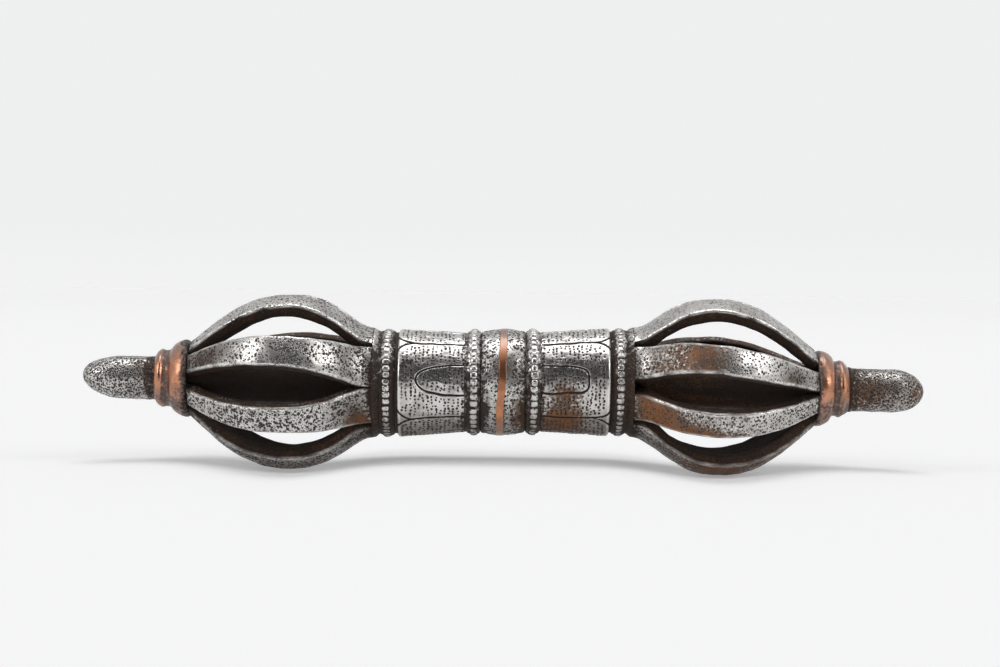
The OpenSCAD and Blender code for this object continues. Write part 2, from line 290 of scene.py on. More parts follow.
class VajraStage(PropertyGroup):
    """Camera, floor and light."""

    distance: length("Distance", "Distance of the camera from the grip", 428.6)
    lens: amount("Lens", "Focal length in millimetres on a 36 mm sensor", 72.0)
    elevation: angle("Elevation", "Height of the camera above the horizon", 2.8)
    roll: angle("Roll", "Roll of the camera, which lowers the right end", 0.714)
    grip_across: amount("Grip across", "Pixels from the left edge to the grip", 503.0)
    grip_down: amount("Grip down", "Pixels from the top edge to the grip", 384.0)
    floor: colour("Floor", "Colour of the pale floor", 0.82, 0.82, 0.825)
    cloth_rise: length("Cloth rise", "How far the soft floor stands up beside the cages", 2.4)
    floor_glow: amount("Floor glow", "White that the floor adds for the camera", 0.275)
    floor_fade: amount("Floor fade", "Loss of that white in the distance", 0.03)
    horizon: colour("Horizon", "Colour of the surroundings where they meet the floor", 0.888, 0.890, 0.893)
    backdrop: colour("Backdrop", "Colour of the surroundings higher up", 0.863, 0.866, 0.870)
    ceiling: colour("Ceiling", "Colour of the surroundings high up behind the object", 0.66, 0.665, 0.67)
    room: colour("Room", "Colour of the dim room behind the camera", 0.04, 0.04, 0.042)
    fill: amount("Fill", "Share of the surroundings that lights dull surfaces", 0.45)
    overhead: amount("Overhead", "Light from the overhead cloth", 1.0)
    side_light: amount("Side light", "Light from the soft box at each side", 0.58)


def smooth(value, low, high):
    """0 below low, 1 above high, and the cubic 3t^2 - 2t^3 between them."""
    t = np.clip((value - low) / (high - low), 0.0, 1.0)
    return t * t * (3.0 - 2.0 * t)


def fall(value, low, high):
    """1 below low and 0 above high: one less the smooth step."""
    return 1.0 - smooth(value, low, high)


def facing_up(turn, low, high):
    """The smooth step of the cosine of the turn from the top."""
    return smooth(np.cos(turn), low, high)


def facing_down(turn, low, high):
    """The smooth step of minus the cosine of the turn from the top."""
    return smooth(-np.cos(turn), low, high)


def underside_dirt_and_shade(turn):
    """How much dirt and painted shade lie towards the bottom: 0 on the flanks and above, 1 at the bottom."""
    return facing_down(turn, 0.35, 0.95)


def cubic(points, *controls):
    """Points on a cubic curve with four control points: their sum, weighted by Bernstein polynomials."""
    t = np.linspace(0.0, 1.0, points)[:, None]
    a, b, c, d = np.asarray(controls, float)
    return (1 - t) ** 3 * a + 3 * t * (1 - t) ** 2 * b + 3 * t * t * (1 - t) * c + t**3 * d


def eased(x, places, values, reach):
    """Straight lines through the values at their places, averaged over the reach to ease the corners."""
    offsets = np.linspace(-reach / 2, reach / 2, 9)
    return np.mean([np.interp(x + offset, places, values) for offset in offsets], axis=0)


def rounded(corners, points, reach):
    """Even points along straight lines through the corners, each averaged over the reach to round them."""
    corners = np.asarray(corners, float)
    gone = np.concatenate([[0.0], np.cumsum(np.linalg.norm(np.diff(corners, axis=0), axis=1))])
    way = np.linspace(0.0, gone[-1], points)
    return np.stack([eased(way, gone, corners[:, i], reach) for i in range(2)], -1)


def ripple(points, wavelength, seed, waves=16):
    """Smooth unevenness of unit size: a sum of sine waves with seeded directions, lengths and phases."""
    draw = np.random.default_rng(seed)
    direction = draw.normal(size=(3, waves))
    direction /= np.linalg.norm(direction, axis=0)
    rate = TURN / (wavelength * draw.uniform(0.6, 1.6, waves))
    phase = draw.uniform(0.0, TURN, waves)
    return np.sin(points @ (direction * rate) + phase).sum(-1) * math.sqrt(2.0 / waves)


def around(columns):
    """One row of even angles round the rod, from the top towards the front."""
    return np.linspace(0.0, TURN, columns, endpoint=False)[None, :]


def turned(x, radius, turn):
    """Points about the rod: x along it, radius times minus the sine across and times the cosine up."""
    return np.stack(np.broadcast_arrays(x, -radius * np.sin(turn), radius * np.cos(turn)), -1)


def bordered(mark, before, after, value):
    """A mark with rows of one value added before and after its own."""
    return np.pad(mark, ((before, after), (0, 0)), constant_values=value)


def spots_at(points, spots):
    """Strength of stains or patches: a sum of bell curves in place along the rod and angle about it."""
    x = points[..., 0] / MM
    degrees = np.degrees(np.arctan2(-points[..., 1], points[..., 2]))
    total = np.zeros(x.shape)
    for place, turn, reach, spread, strength in spots:
        off = (degrees - turn + 180.0) % 360.0 - 180.0
        total += strength * np.exp(-(((x - place) / reach) ** 2) - (off / spread) ** 2)
    return np.clip(total, 0.0, MARK_LIMIT)


def grid_quads(rows, columns, closed_rows):
    """Corner numbers of a grid's quads. Its columns close on themselves, and so do its rows if asked."""
    row = np.arange(rows if closed_rows else rows - 1)[:, None] * columns
    column = np.arange(columns)[None, :]
    below, beside = (row + columns) % (rows * columns), (column + 1) % columns
    return np.stack([row + column, row + beside, below + beside, below + column], -1).reshape(-1, 4)


def end_fans(rows, columns):
    """Triangles from two added centre points to the first and the last row of a grid."""
    column = np.arange(columns)
    beside = (column + 1) % columns
    first, last, tail = rows * columns, rows * columns + 1, (rows - 1) * columns
    start = np.stack([np.full(columns, first), beside, column], -1)
    end = np.stack([np.full(columns, last), tail + column, tail + beside], -1)
    return np.concatenate([start, end])


def signed_volume(points, quads):
    """Sum over the quads' triangles of a sixth of the triple product, positive if faces point outwards."""
    a, b, c, d = (points[quads[:, i]] for i in range(4))
    return (np.cross(b, c) * a).sum() / 6.0 + (np.cross(c, d) * a).sum() / 6.0


def make_piece(node, points, marks, metal, closed_rows=True, sharp=40.0):
    """Makes the mesh that stands for a frame node from a grid of points and its marks.

    The grid's rows run along the piece and its columns close round it. The points are lifted to the crooked
    centre line and kept inside the frame's box. Open ends are closed by fans of triangles, and the faces are
    turned so that the enclosed volume is positive. Edges over the sharp angle, in degrees, stay hard."""
    rows, columns = points.shape[:2]
    places, rises = np.array(CROOK).T * MM
    points = points + eased(points[..., :1], places, rises, BEND_EASE) * (0.0, 0.0, 1.0)
    points = np.clip(points, *(np.array(corner) for corner in CAD_BOX))
    vertices = points.reshape(-1, 3)
    quads = grid_quads(rows, columns, closed_rows)
    fans = np.empty((0, 3), int)
    if not closed_rows:
        fans = end_fans(rows, columns)
        vertices = np.concatenate([vertices, points[[0, -1]].mean(1)])
    if signed_volume(vertices, quads) < 0.0:
        quads, fans = quads[:, ::-1], fans[:, ::-1]
    mesh = bpy.data.meshes.new(node)
    mesh.from_pydata(vertices.tolist(), [], quads.tolist() + fans.tolist())
    if mesh.validate():
        raise RuntimeError(f"the mesh of {node} had faults")
    for name in MARKS:
        value = np.broadcast_to(marks.get(name, 0.0), (rows, columns))
        ends = [] if closed_rows else value[[0, -1]].mean(1)
        value = np.concatenate([value.ravel(), ends]).clip(0.0, MARK_LIMIT)
        mesh.attributes.new(name, "FLOAT", "POINT").data.foreach_set("value", value.astype(np.float32))
    mesh.shade_smooth()
    mesh.set_sharp_from_angle(angle=math.radians(sharp))
    mesh.materials.append(metal_material(metal))
    piece = bpy.data.objects.new("dressed_" + node, mesh)
    bpy.context.scene.collection.objects.link(piece)
    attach(piece, "root")
    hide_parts(node)


class Sketch:
    """A short hand for drawing one node tree."""

    def __init__(self, tree):
        self.tree = tree

    def feed(self, node, inputs):
        """Gives a node's sockets, by name or number, a value or the socket that feeds them."""
        for key, value in inputs.items():
            if isinstance(value, bpy.types.NodeSocket):
                self.tree.links.new(value, node.inputs[key])
            else:
                node.inputs[key].default_value = value

    def add(self, kind, inputs=None, **settings):
        """Adds a node with its settings and its inputs."""
        made = self.tree.nodes.new(kind)
        for key, value in settings.items():
            setattr(made, key, value)
        self.feed(made, inputs or {})
        return made

    def maths(self, operation, a, b=0.0):
        """One sum, product or the like."""
        return self.add("ShaderNodeMath", {0: a, 1: b}, operation=operation).outputs[0]

    def plus(self, a, b):
        """The sum of two values."""
        return self.maths("ADD", a, b)

    def less(self, a, b):
        """The first value less the second."""
        return self.maths("SUBTRACT", a, b)

    def times(self, a, b):
        """The product of two values."""
        return self.maths("MULTIPLY", a, b)

    def most(self, a, b):
        """The larger of two values."""
        return self.maths("MAXIMUM", a, b)

    def blend(self, factor, a, b):
        """Colour a where the factor is 0, and b where it is 1."""
        return self.add("ShaderNodeMix", {0: factor, 6: a, 7: b}, data_type="RGBA").outputs[2]

    def rise(self, value, low, high, start=0.0, end=1.0):
        """A smooth step from start to end as the value goes from low to high."""
        sockets = {"Value": value, "From Min": low, "From Max": high, "To Min": start, "To Max": end}
        return self.add("ShaderNodeMapRange", sockets, interpolation_type="SMOOTHSTEP").outputs["Result"]

    def noise(self, vector, scale, detail=4.0, roughness=0.55):
        """Fractal noise from 0 to 1."""
        sockets = {"Vector": vector, "Scale": scale, "Detail": detail, "Roughness": roughness}
        return self.add("ShaderNodeTexNoise", sockets).outputs["Fac"]

    def vector(self, operation, inputs):
        """One step of vector arithmetic."""
        return self.add("ShaderNodeVectorMath", inputs, operation=operation).outputs

    def shift(self, vector, scale, reach):
        """The vector, pushed about by noise of the given scale by up to half the reach each way."""
        sockets = {"Vector": vector, "Scale": scale, "Detail": 2.0}
        push = self.add("ShaderNodeTexNoise", sockets).outputs["Color"]
        centred = self.vector("SUBTRACT", {0: push, 1: (0.5, 0.5, 0.5)})[0]
        return self.vector("ADD", {0: vector, 1: self.vector("SCALE", {0: centred, "Scale": reach})[0]})[0]

    def mark(self, name):
        """One of the marks that the mesh carries."""
        return self.add("ShaderNodeAttribute", attribute_name=name).outputs["Fac"]

    def group(self, name, **inputs):
        """Places a shared effect. Its inputs are written in small letters, as words joined by a low line."""
        sockets = {key.replace("_", " ").capitalize(): value for key, value in inputs.items()}
        return self.add("ShaderNodeGroup", sockets, node_tree=bpy.data.node_groups[name]).outputs

    def seen(self):
        """1 for the camera's rays and those that metal or glass pass on, 0 for those from dull surfaces."""
        ray = self.add("ShaderNodeLightPath").outputs
        return self.most(self.most(ray["Is Camera Ray"], ray["Is Glossy Ray"]), ray["Is Transmission Ray"])


def new_sketch(owner):
    """An empty node tree of a material or a world."""
    owner.use_nodes = True
    owner.node_tree.nodes.clear()
    return Sketch(owner.node_tree)


def new_group(name, inputs, outputs):
    """An empty shared effect with named sockets: its sketch, its input sockets and its output node."""
    kinds = {"Vector": "NodeSocketVector", **dict.fromkeys(("Dark", "Warm", "Color"), "NodeSocketColor")}
    tree = bpy.data.node_groups.new(name, "ShaderNodeTree")
    for in_out, sockets in (("INPUT", inputs), ("OUTPUT", outputs)):
        for socket in sockets:
            kind = kinds.get(socket, "NodeSocketFloat")
            tree.interface.new_socket(socket, in_out=in_out, socket_type=kind)
    sketch = Sketch(tree)
    return sketch, sketch.add("NodeGroupInput").outputs, sketch.add("NodeGroupOutput")


def pitting_group(name):
    """Pits eaten into metal: balls of random size in the cells of two Voronoi patterns, out of round."""
    sketch, given, out = new_group(name, ("Vector", "Rate", "Amount"), ("Pits", "Depth"))
    patches = sketch.noise(given["Vector"], 260.0, 3.0)
    gathered = sketch.times(given["Amount"], sketch.rise(patches, 0.30, 0.70, 0.93, 1.07))
    moved = sketch.shift(given["Vector"], 3000.0, 0.30 * MM)
    layers = []
    for finer, least, extra in ((1.0, 0.33, 0.20), (2.1, 0.20, 0.22)):
        scale = sketch.times(given["Rate"], finer)
        cells = sketch.add("ShaderNodeTexVoronoi", {"Vector": moved, "Scale": scale}, feature="F1").outputs
        chance = sketch.add("ShaderNodeSeparateColor", {"Color": cells["Color"]}).outputs[0]
        size = sketch.plus(sketch.times(chance, extra), least)
        layers.append(sketch.less(sketch.times(size, gathered), cells["Distance"]))
    inside = sketch.most(*layers)
    sketch.feed(out, {"Pits": sketch.rise(inside, -0.03, 0.06), "Depth": sketch.rise(inside, -0.08, 0.22)})


def grime_group(name):
    """Crust in low places and painted shade: the mark, with its border broken up by fine noise."""
    sketch, given, out = new_group(name, ("Vector", "Amount"), ("Mask", "Crust"))
    breaks = sketch.noise(given["Vector"], 1700.0, 4.0, 0.6)
    reach = sketch.plus(given["Amount"], sketch.rise(breaks, 0.28, 0.72, -0.26, 0.26))
    crust = sketch.noise(given["Vector"], 2400.0, 4.0, 0.65)
    sketch.feed(out, {"Mask": sketch.rise(reach, 0.22, 0.74), "Crust": crust})


def rust_group(name):
    """Brown rust: the mark with a ragged border, and a colour that turns warm where it lies thick."""
    sketch, given, out = new_group(name, ("Vector", "Amount", "Dark", "Warm"), ("Mask", "Color"))
    ragged = sketch.noise(given["Vector"], 1700.0, 6.0, 0.68)
    reach = sketch.plus(given["Amount"], sketch.rise(ragged, 0.27, 0.73, -0.42, 0.42))
    clouds = sketch.noise(given["Vector"], 420.0, 5.0, 0.6)
    thick = sketch.times(sketch.less(given["Amount"], 0.9), 0.5)
    warmth = sketch.rise(sketch.plus(sketch.plus(clouds, ragged), thick), 0.88, 1.36)
    rust = sketch.blend(warmth, given["Dark"], given["Warm"])
    sketch.feed(out, {"Mask": sketch.rise(reach, 0.28, 0.92), "Color": rust})


def rubbing_group(name):
    """Traces of rubbing and filing: clouds of dullness, and fine streaks drawn out along the rod."""
    sketch, given, out = new_group(name, ("Vector", "Cloud rate"), ("Clouds", "Streaks"))
    stretch = {"Vector": given["Vector"], "Scale": (0.22, 1.0, 1.0)}
    drawn = sketch.add("ShaderNodeMapping", stretch).outputs[0]
    clouds = sketch.noise(given["Vector"], given["Cloud rate"], 5.0, 0.6)
    sketch.feed(out, {"Clouds": clouds, "Streaks": sketch.noise(drawn, 3200.0, 3.0, 0.6)})


EFFECTS = {
    "Pitting": pitting_group,
    "Grime film": grime_group,
    "Rust bloom": rust_group,
    "Rubbing": rubbing_group,
}


def metal_material(name):
    """The named metal, which is made with the shared effects when it is first asked for."""
    if name in bpy.data.materials:
        return bpy.data.materials[name]
    for effect, maker in EFFECTS.items():
        if effect not in bpy.data.node_groups:
            maker(effect)
    material = bpy.data.materials.new(name)
    sketch = new_sketch(material)
    shader = sketch.add("ShaderNodeBsdfPrincipled")
    sketch.add("ShaderNodeOutputMaterial", {"Surface": shader.outputs[0]})
    finish = bpy.context.scene.vajra_finish
    if name == COPPER:
        draw_copper(sketch, shader, finish)
    else:
        draw_iron(sketch, shader, finish, *IRONS[name])
    return material


def lay_metal(sketch, shader, base, bare, least_metal, polish, dull, relief, height):
    """Wires what the metals share: bare places are metallic and polished, covered ones dull."""
    bump = sketch.add("ShaderNodeBump", {"Strength": relief, "Distance": 0.12 * MM, "Height": height})
    sketch.feed(shader, {
        "Base Color": base,
        "Metallic": sketch.rise(bare, 0.0, 1.0, least_metal, 1.0),
        "Roughness": sketch.plus(polish, sketch.rise(bare, 0.0, 1.0, dull, 0.0)),
        "Normal": bump.outputs["Normal"],
    })


def draw_iron(sketch, shader, finish, crust, sheen, relief, pit_rate, cloud_rate):
    """Old iron: bright and dull clouds, brown rust, black pits, crust in the low places, painted shade, and
    rubbed edges.
    """
    sketch.feed(shader, {"Specular IOR Level": sheen})
    where = sketch.add("ShaderNodeTexCoord").outputs["Object"]
    grime_and_shade, rust, wear, pits, tarnish_and_painted_light = (sketch.mark(mark) for mark in MARKS)
    rubbing = sketch.group("Rubbing", vector=where, cloud_rate=cloud_rate)
    bloom = sketch.group(
        "Rust bloom", vector=where, amount=rust, dark=finish.dark_rust, warm=finish.warm_rust
    )
    pitting = sketch.group("Pitting", vector=where, rate=pit_rate, amount=pits)
    film = sketch.group("Grime film", vector=where, amount=grime_and_shade)
    dullness = sketch.rise(rubbing["Clouds"], 0.34, 0.70)
    # The veil lays the tarnish colour: real tarnish, and painted shade on the undersides
    veil = sketch.times(tarnish_and_painted_light, sketch.rise(rubbing["Clouds"], 0.25, 0.75, 0.8, 1.1))
    metal = sketch.blend(veil, sketch.blend(dullness, finish.bright_iron, finish.dull_iron), finish.tarnish_and_painted_light)

    def rusted(share, under):
        return sketch.blend(sketch.times(bloom["Mask"], share), under, bloom["Color"])

    pitted = sketch.blend(sketch.times(pitting["Pits"], 0.94), rusted(0.92, metal), rusted(0.25, finish.pit))
    browned = rusted(0.8, getattr(finish, crust))
    specked = sketch.blend(sketch.rise(film["Crust"], 0.35, 0.75), finish.pit, browned)
    crusted = sketch.blend(film["Mask"], pitted, specked)
    rubbed = sketch.times(wear, sketch.rise(rubbing["Streaks"], 0.28, 0.60, 0.35, 1.0))
    covered = sketch.most(sketch.times(bloom["Mask"], 0.68), film["Mask"])
    covered = sketch.most(covered, sketch.times(pitting["Pits"], 0.9))
    bare = sketch.most(sketch.less(1.0, covered), rubbed)
    streaked = sketch.rise(rubbing["Streaks"], 0.3, 0.7, -0.05, 0.05)
    polish = sketch.plus(sketch.rise(dullness, 0.0, 1.0, 0.22, 0.32), streaked)
    grained = sketch.plus(sketch.times(pitting["Depth"], -1.0), sketch.times(rubbing["Streaks"], 0.05))
    height = sketch.plus(grained, sketch.times(sketch.times(film["Crust"], covered), 0.5))
    base = sketch.blend(rubbed, crusted, finish.worn_iron)
    lay_metal(sketch, shader, base, bare, 0.12, polish, 0.28, relief, height)


def draw_copper(sketch, shader, finish):
    """Old copper: bright where rubbed, brown in clouds, purple-brown in low places and as painted shade, a
    few dark pits, and a pinkish film that paints reflections.
    """
    sketch.feed(shader, {"Specular IOR Level": 0.18, "Coat Weight": 0.3, "Coat Roughness": 0.25})
    where = sketch.add("ShaderNodeTexCoord").outputs["Object"]
    grime_and_shade, rust, wear, pits, tarnish_and_painted_light = (sketch.mark(mark) for mark in MARKS)
    rubbing = sketch.group("Rubbing", vector=where, cloud_rate=520.0)
    pitting = sketch.group("Pitting", vector=where, rate=1300.0, amount=pits)
    film = sketch.group("Grime film", vector=where, amount=grime_and_shade)
    brown = sketch.plus(sketch.rise(rubbing["Clouds"], 0.36, 0.68, -0.1, 0.5), rust)
    metal = sketch.blend(sketch.rise(brown, 0.0, 1.0), finish.bright_copper, finish.dull_copper)
    filmed = sketch.blend(film["Mask"], sketch.blend(tarnish_and_painted_light, metal, finish.copper_film_and_reflection), finish.patina)
    covered = sketch.most(sketch.times(film["Mask"], 0.8), pitting["Pits"])
    bare = sketch.most(sketch.less(1.0, covered), wear)
    polish = sketch.plus(sketch.rise(rubbing["Streaks"], 0.3, 0.7, 0.20, 0.28), sketch.times(rust, 0.16))
    height = sketch.plus(sketch.times(pitting["Depth"], -0.7), sketch.times(rubbing["Clouds"], 0.35))
    base = sketch.blend(pitting["Pits"], filmed, finish.pit)
    lay_metal(sketch, shader, base, bare, 0.3, polish, 0.24, 0.5, height)


class VAJRA_OT_core_rod(Operator):
    """Turns the rod with its two bullet tips"""

    bl_idname = "vajra.core_rod"
    bl_label = "Core rod"

    def half(self, shape, nose):
        """One half's outline, in station and radius: rod, a short cove, the shank and half an ellipse."""
        cove, nearly_point = 0.5 * MM, 0.985 * math.pi / 2
        inside = np.concatenate([np.linspace(0.0, HOOP_END, 4), np.linspace(HOOP_END, COLLAR_END, 80)[1:]])
        shank = np.linspace(COLLAR_END + cove, ROD_END - nose, 36)
        turn = np.linspace(0.0, nearly_point, 40)[1:]
        x = np.concatenate([inside, shank, ROD_END - nose * (1.0 - np.sin(turn))])
        tip = shape.tip_radius
        r = np.concatenate([np.full(len(inside), ROD_R), np.full(len(shank), tip), tip * np.cos(turn)])
        return np.stack([x, r], -1)

    def execute(self, context):
        shape = context.scene.vajra_shape
        left = self.half(shape, shape.left_nose) * (-1.0, 1.0)
        outline = np.concatenate([left[:0:-1], self.half(shape, shape.right_nose)])
        x, r = outline[:, :1], outline[:, 1:]
        turn = around(columns=112)
        true = turned(x, r, turn)
        outside = smooth(np.abs(x), COLLAR_END, COLLAR_END + 1.5 * MM)
        dents = ripple(true, 8.0 * MM, 3) + 0.45 * ripple(true, 2.6 * MM, 4)
        dented = r + outside * np.minimum(r / ROD_R, 1.0) * shape.hand_work * dents
        points = turned(x, np.maximum(dented, 0.0), turn)
        past = np.abs(x) - COLLAR_END
        shade_end = np.where(x < 0.0, 2.4, 2.0) * MM + 0.2 * MM * ripple(true, 4.0 * MM, 5)
        fading = fall(past - shade_end, -0.9 * MM, 0.3 * MM)
        marks = {
            # Under the collars and inside the cages the rod is fully crusted: soot with painted shade
            "grime_and_shade": np.where(past < 0.0, 1.0, 0.50 * fading),
            "rust": spots_at(true, RUST_STAINS),
            "tarnish_and_painted_light": np.maximum(0.95 * fading, spots_at(true, TARNISH)),
            "pits": np.where(x < 0.0, 1.17, 1.10),
        }
        make_piece("core_rod", points, marks, "rod_iron", closed_rows=False)
        return {"FINISHED"}


class VAJRA_OT_barrel(Operator):
    """Turns the bulged barrel with the groove for its band"""

    bl_idname = "vajra.barrel"
    bl_label = "Barrel"

    def execute(self, context):
        """The radius falls with the station's square, rounds off at the ends and drops in the groove."""
        shape = context.scene.vajra_shape
        half, groove, shift = BARREL_END, shape.band_width / 2, shape.band_shift
        floor = shape.barrel_radius - 0.45 * MM
        edge = np.array([0.0, 0.06, 0.15, 0.28]) * MM
        inset = 0.4 * MM
        left = np.concatenate([edge - half, np.linspace(inset - half, shift - groove, 30)])
        right = np.concatenate([np.linspace(shift + groove, half - inset, 30), half - edge[::-1]])
        x = np.concatenate([[-half], left, [shift - groove, shift + groove], right, [half]])[:, None]
        gap = half - np.abs(x)
        bulge = shape.barrel_radius - shape.barrel_drop * (x / half) ** 2
        r = bulge - 0.25 * MM * fall(gap, 0.0, 0.3 * MM)
        r[[0, -1]] = BORE_R
        trough = len(left) + 1
        r[trough:trough + 2] = floor
        turn = around(columns=280)
        lean = math.tan(shape.band_lean) * r * np.cos(turn) * gap / half
        true = turned(x + lean, r, turn)
        shown = (r > floor + 0.01 * MM).astype(float)
        dents = ripple(true, 5.0 * MM, 11) + 0.5 * ripple(true, 1.8 * MM, 12)
        points = turned(x + lean, r + shown * shape.hand_work * (0.6 * dents - 0.6), turn)
        # Grime at the rings widens and thickens towards the bottom, and the underside darkens: painted shade
        # with some dirt
        below = facing_down(turn, 0.1, 0.8)
        ragged = gap + 0.25 * MM * ripple(true, 2.0 * MM, 13) - 0.5 * MM * below
        by_ring = (0.60 + 0.25 * below) * fall(ragged, 0.1 * MM, 1.25 * MM)
        by_band = fall(np.abs(x - shift) - groove, 0.0, 0.22 * MM)
        dark = spots_at(true, DARK_PATCHES)
        pitted = 1.07 + 0.05 * ripple(true, 4.0 * MM, 14) - dark
        marks = {
            "grime_and_shade": np.maximum(by_ring, 0.30 * by_band) + 0.22 * underside_dirt_and_shade(turn) + dark,
            "rust": spots_at(true, RUST_STAINS),
            "pits": pitted * (1.0 - 0.6 * spots_at(true, CLEAN_SPOTS)),
            "tarnish_and_painted_light": 0.06 + 0.50 * underside_dirt_and_shade(turn),
        }
        make_piece("barrel", points, marks, "barrel_iron")
        return {"FINISHED"}


class VAJRA_OT_copper_band(Operator):
    """Lays the copper band into the barrel's groove"""

    bl_idname = "vajra.copper_band"
    bl_label = "Copper band"

    def execute(self, context):
        """A flat section with bevelled, rounded corners, turned about the rod, leant over and let wander."""
        shape = context.scene.vajra_shape
        half = shape.band_width / 2 - 0.03 * MM
        base, top = shape.barrel_radius - 0.40 * MM, shape.barrel_radius + 0.04 * MM
        bevel, drop = 0.08 * MM, 0.05 * MM
        corners = [(-half, base), (-half, top - drop), (-half + bevel, top), (half - bevel, top),
                   (half, top - drop), (half, base)]
        outline = rounded(corners, 48, 0.10 * MM)
        x, r = outline[:, :1], outline[:, 1:]
        turn = around(columns=320)
        lean = math.tan(shape.band_lean) * r * np.cos(turn)
        true = turned(x + lean, r, turn)
        wander = 0.07 * MM * ripple(true * (0.0, 1.0, 1.0), 9.0 * MM, 21) + shape.band_shift
        dents = ripple(true, 3.0 * MM, 22)
        dented = r + smooth(r, base, top) * 0.4 * shape.hand_work * (dents - 1.0)
        points = turned(x + lean + wander, dented, turn)
        by_edge = 0.4 - smooth(half - np.abs(x), 0.0, 0.20 * MM)
        marks = {
            "grime_and_shade": np.maximum(by_edge, 0.12 + 0.10 * ripple(true, 4.0 * MM, 23)),
            # Less brown towards the bottom; the pinkish film on top and bottom is a painted reflection of
            # the overhead cloth and the floor
            "rust": 0.62 - 0.24 * facing_down(turn, 0.0, 0.9) + 0.16 * ripple(true, 5.0 * MM, 24),
            "pits": 0.12,
            "tarnish_and_painted_light": 0.70 * facing_down(turn, 0.55, 0.85) + 0.95 * facing_up(turn, 0.50, 0.82),
        }
        make_piece("copper_band", points, marks, COPPER)
        return {"FINISHED"}


class BeadRing(NamedTuple):
    """One ring of beads: its place along the rod, its radii, and how its beads stand."""

    node: str
    side: float
    start: float
    end: float
    bore: float
    base: float
    crest: float
    flare: float
    sway: float
    bead_at: float
    bead_length: float
    beads: int
    seed: int


class VAJRA_OT_bead_rings(Operator):
    """Chases the rows of beads beside the barrel and round the prong roots"""

    bl_idname = "vajra.bead_rings"
    bl_label = "Bead rings"

    def ring(self, shape, ring):
        """One ring: a band with a roll round it, half an ellipse, on whose crest each bead is a flat-topped
        dome, the square root of 1 - |along|^3 - |round|^3, with seeded differences. A hoop's end flares."""
        span, pitch = ring.end - ring.start, TURN / ring.beads
        draw = np.random.default_rng(ring.seed)
        tall, wide, shift = (draw.uniform(-1.0, 1.0, ring.beads) for _ in range(3))
        inside = np.linspace(0.12 * MM, span - 0.12 * MM, 52)
        along = np.concatenate([[0.0, 0.03 * MM], inside, [span - 0.03 * MM, span]])[:, None]
        turn = around(columns=20 * ring.beads)
        number = np.round(turn / pitch).astype(int) % ring.beads
        off = turn / pitch - np.round(turn / pitch) - 0.10 * shift[number]
        sway = ring.sway * np.sin(turn) + 0.06 * MM * shift[number]
        u = (along - ring.bead_at - sway) / (ring.bead_length / 2)
        v = off / (0.47 + 0.02 * tall[number])
        left_over = 1.0 - np.abs(u * (1.0 - 0.12 * wide[number])) ** 3 - np.abs(v) ** 3
        dome = np.sqrt(np.clip(left_over, 0.0, 1.0))
        roll = np.sqrt(np.clip(1.0 - (u / 1.85) ** 2, 0.0, 1.0))
        height = ring.crest - ring.base
        rounding = 0.18 * MM * fall(along, 0.0, 0.25 * MM)
        flare = ring.flare * smooth(along, ring.bead_at + 0.7 * ring.bead_length, span)
        r = ring.base + height * (0.64 * roll + (0.34 + 0.05 * tall[number]) * dome) + flare - rounding
        x = ring.side * (ring.start + along)
        true = turned(x, r, turn)
        r = r + 0.5 * shape.hand_work * ripple(true, 1.4 * MM, ring.seed + 1)
        bore = np.full((1, turn.size), ring.bore)
        points = turned(np.concatenate([x[:1], x, x[-1:]]), np.concatenate([bore, r, bore]), turn)
        is_hoop = ring.flare > 0.0
        patchy = 0.5 + 0.5 * ripple(true, 3.0 * MM, ring.seed + 2)
        # The crust is thinner on top, where the roll and the neck are left bare, and thickest below: painted
        # shade on real crust
        rubbed = 0.60 * smooth(roll, 0.55, 0.95) * facing_up(turn, 0.2, 0.7)
        bare = np.maximum(smooth(dome, 0.30, 0.80), rubbed) * (1.0 - 0.30 * np.clip(patchy, 0.0, 1.0))
        neck = smooth(along, span - 1.5 * MM, span - 0.3 * MM) * is_hoop
        bare = np.maximum(bare, (0.90 if ring.side < 0.0 else 0.55) * neck * facing_up(turn, 0.55, 0.88))
        least, most = (0.78, 1.0) if is_hoop else (0.50, 0.77)
        uneven = 0.08 * ripple(true, 2.0 * MM, ring.seed + 3)
        crust_and_shade_below = least + (most - least) * facing_down(turn, -0.5, 0.3) + uneven
        worn = 0.55 * smooth(dome, 0.78, 0.97) * np.clip(1.2 - patchy, 0.0, 1.0)
        marks = {
            "grime_and_shade": bordered(crust_and_shade_below * (1.0 - bare) + 0.22 * underside_dirt_and_shade(turn), 1, 1, 1.0),
            "rust": spots_at(points, RUST_STAINS) + 0.28 * is_hoop,
            "tarnish_and_painted_light": 0.45 * underside_dirt_and_shade(turn),
            "wear": bordered(worn, 1, 1, 0.0),
            "pits": 0.70,
        }
        make_piece(ring.node, points, marks, "chased_iron")

    def execute(self, context):
        shape = context.scene.vajra_shape
        for number, (name, side) in enumerate(SIDES):
            inner_at, hoop_at, sway = (place * MM for place in BEAD_PLACES[name])
            self.ring(shape, BeadRing(
                node=name + "_inner_bead_ring", side=side, start=BARREL_END, end=RING_END, bore=BORE_R,
                base=shape.inner_ring_radius, crest=shape.inner_bead_crest, flare=0.0, sway=sway,
                bead_at=inner_at, bead_length=1.6 * MM, beads=shape.inner_beads, seed=31 + 10 * number,
            ))
            self.ring(shape, BeadRing(
                node=name + "_root_hoop", side=side, start=SLEEVE_END, end=NECK_END, bore=shape.hoop_bore,
                base=shape.hoop_radius, crest=shape.hoop_bead_crest, flare=0.82 * MM, sway=0.0,
                bead_at=hoop_at, bead_length=1.65 * MM, beads=shape.hoop_beads, seed=51 + 10 * number,
            ))
        return {"FINISHED"}


